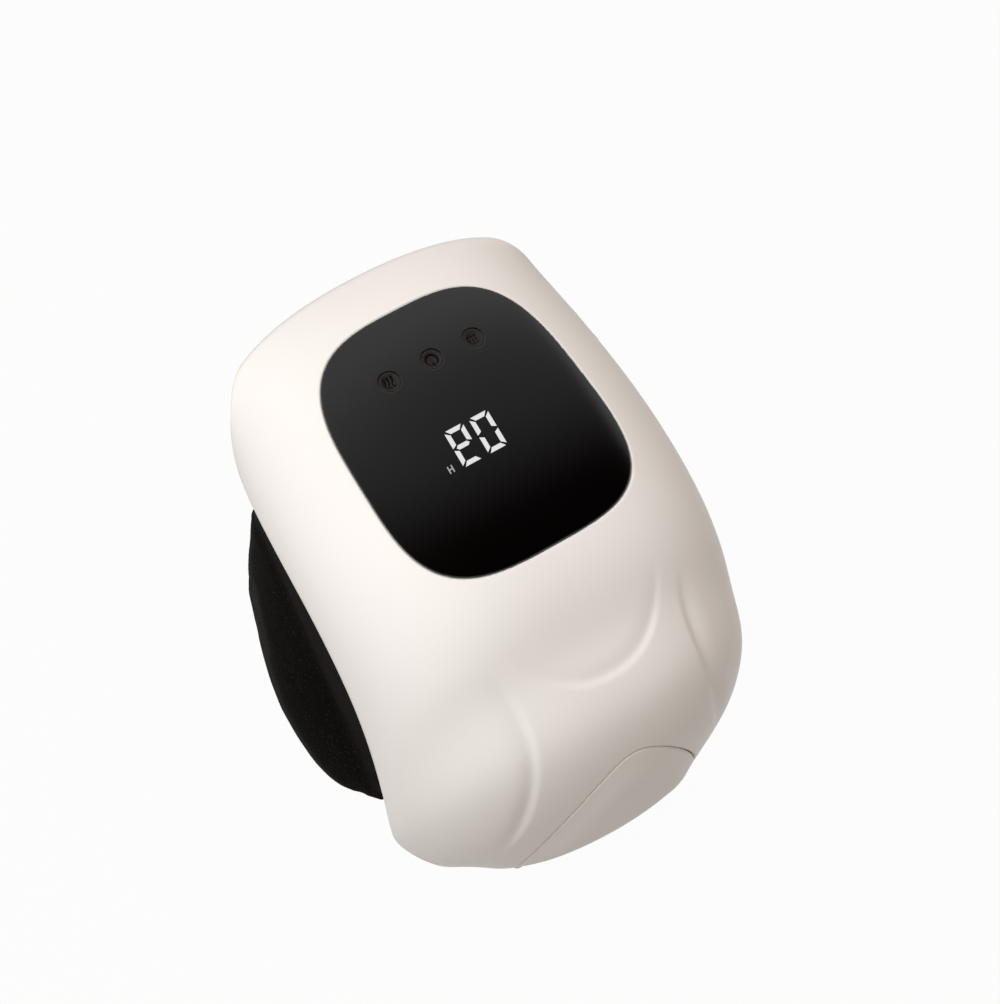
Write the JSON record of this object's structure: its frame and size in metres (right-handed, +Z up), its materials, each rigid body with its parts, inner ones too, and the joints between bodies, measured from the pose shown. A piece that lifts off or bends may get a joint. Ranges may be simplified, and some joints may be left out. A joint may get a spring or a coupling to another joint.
{
  "type": "knee massager",
  "caption": "Arched knee massager with a domed white shell, a black control panel with dished buttons and a figure display, and padded wings that wrap behind the knee.",
  "frame": {"origin": "centre of the object's outline in plan, at the floor it lies on", "axes": "+X to the wearer's right, +Y toward the thigh end, +Z up through the control panel"},
  "size_m": [0.153, 0.1918, 0.1192],
  "materials": {
    "shell_white": "satin to gloss off-white moulding",
    "panel_black": "smooth black, semi-gloss",
    "wing_fabric": "black loop-pile fabric over foam",
    "frame_grey": "dark grey moulding",
    "liner_mesh": "soft black mesh pad",
    "fastener_tape": "hook and loop tape",
    "heater_amber": "amber heating film",
    "board_green": "circuit board",
    "switch_black": "black component plastic",
    "cell_wrap": "shrink wrap",
    "steel": "plain steel",
    "soft_black": "soft black rubber"
  },
  "bodies": {
    "housing": {"front_shell": "shell_white", "chin_cover": "shell_white", "control_panel": "panel_black", "inner_frame": "frame_grey", "knee_liner": "liner_mesh", "heating_film": "heater_amber", "main_board": "board_green", "digit_display": "switch_black", "heat_switch": "switch_black", "power_switch": "switch_black", "massage_switch": "switch_black", "battery_cradle": "frame_grey", "battery_cell_shin": "cell_wrap", "battery_cell_thigh": "cell_wrap", "left_motor": "steel", "right_motor": "steel", "left_motor_clamp": "steel", "right_motor_clamp": "steel", "charging_socket": "steel", "socket_board": "board_green", "frame_screw_shin_left": "steel", "frame_screw_shin_right": "steel", "frame_screw_thigh_left": "steel", "frame_screw_thigh_right": "steel", "board_screw_shin_left": "steel", "board_screw_shin_right": "steel", "board_screw_thigh_left": "steel", "board_screw_thigh_right": "steel", "left_wing_root": "wing_fabric", "right_wing_root": "wing_fabric", "left_wing_rail": "frame_grey", "right_wing_rail": "frame_grey"},
    "left_wing_pad": {"left_wing": "wing_fabric", "hook_tab": "fastener_tape"},
    "right_wing_pad": {"right_wing": "wing_fabric", "loop_patch": "fastener_tape"},
    "heat_key": {"heat_button": "panel_black"},
    "power_key": {"power_button": "panel_black"},
    "massage_key": {"massage_button": "panel_black"},
    "left_weight": {"left_motor_weight": "steel"},
    "right_weight": {"right_motor_weight": "steel"},
    "port_flap": {"socket_cover": "soft_black"}
  },
  "joints": [
    {"name": "left_wing_bend", "type": "hinge", "parent": "housing", "child": "left_wing_pad", "pos_m": [-0.06275, 0.003, 0.04225], "axis": [0.0502, 0.9313, 0.3607], "range_deg": [-9, 40]},
    {"name": "right_wing_bend", "type": "hinge", "parent": "housing", "child": "right_wing_pad", "pos_m": [0.06275, 0.003, 0.04225], "axis": [0.0502, -0.9313, -0.3607], "range_deg": [-22, 40]},
    {"name": "heat_press", "type": "slide", "parent": "housing", "child": "heat_key", "axis": [0, 0, -1], "range_m": [0, 0.0005], "stiffness_N_per_m": 1200},
    {"name": "power_press", "type": "slide", "parent": "housing", "child": "power_key", "axis": [0, 0, -1], "range_m": [0, 0.0005], "stiffness_N_per_m": 1200},
    {"name": "massage_press", "type": "slide", "parent": "housing", "child": "massage_key", "axis": [0, 0, -1], "range_m": [0, 0.0005], "stiffness_N_per_m": 1200},
    {"name": "left_motor_spin", "type": "hinge", "parent": "housing", "child": "left_weight", "pos_m": [-0.0455, -0.017, 0.093], "axis": [0, 1, 0], "continuous": true},
    {"name": "right_motor_spin", "type": "hinge", "parent": "housing", "child": "right_weight", "pos_m": [0.0455, -0.017, 0.093], "axis": [0, 1, 0], "continuous": true},
    {"name": "port_flap_hinge", "type": "hinge", "parent": "housing", "child": "port_flap", "pos_m": [0.06423, 0.05447, 0.08788], "axis": [-0.2754, 0, 0.9613], "range_deg": [0, 100]}
  ]
}
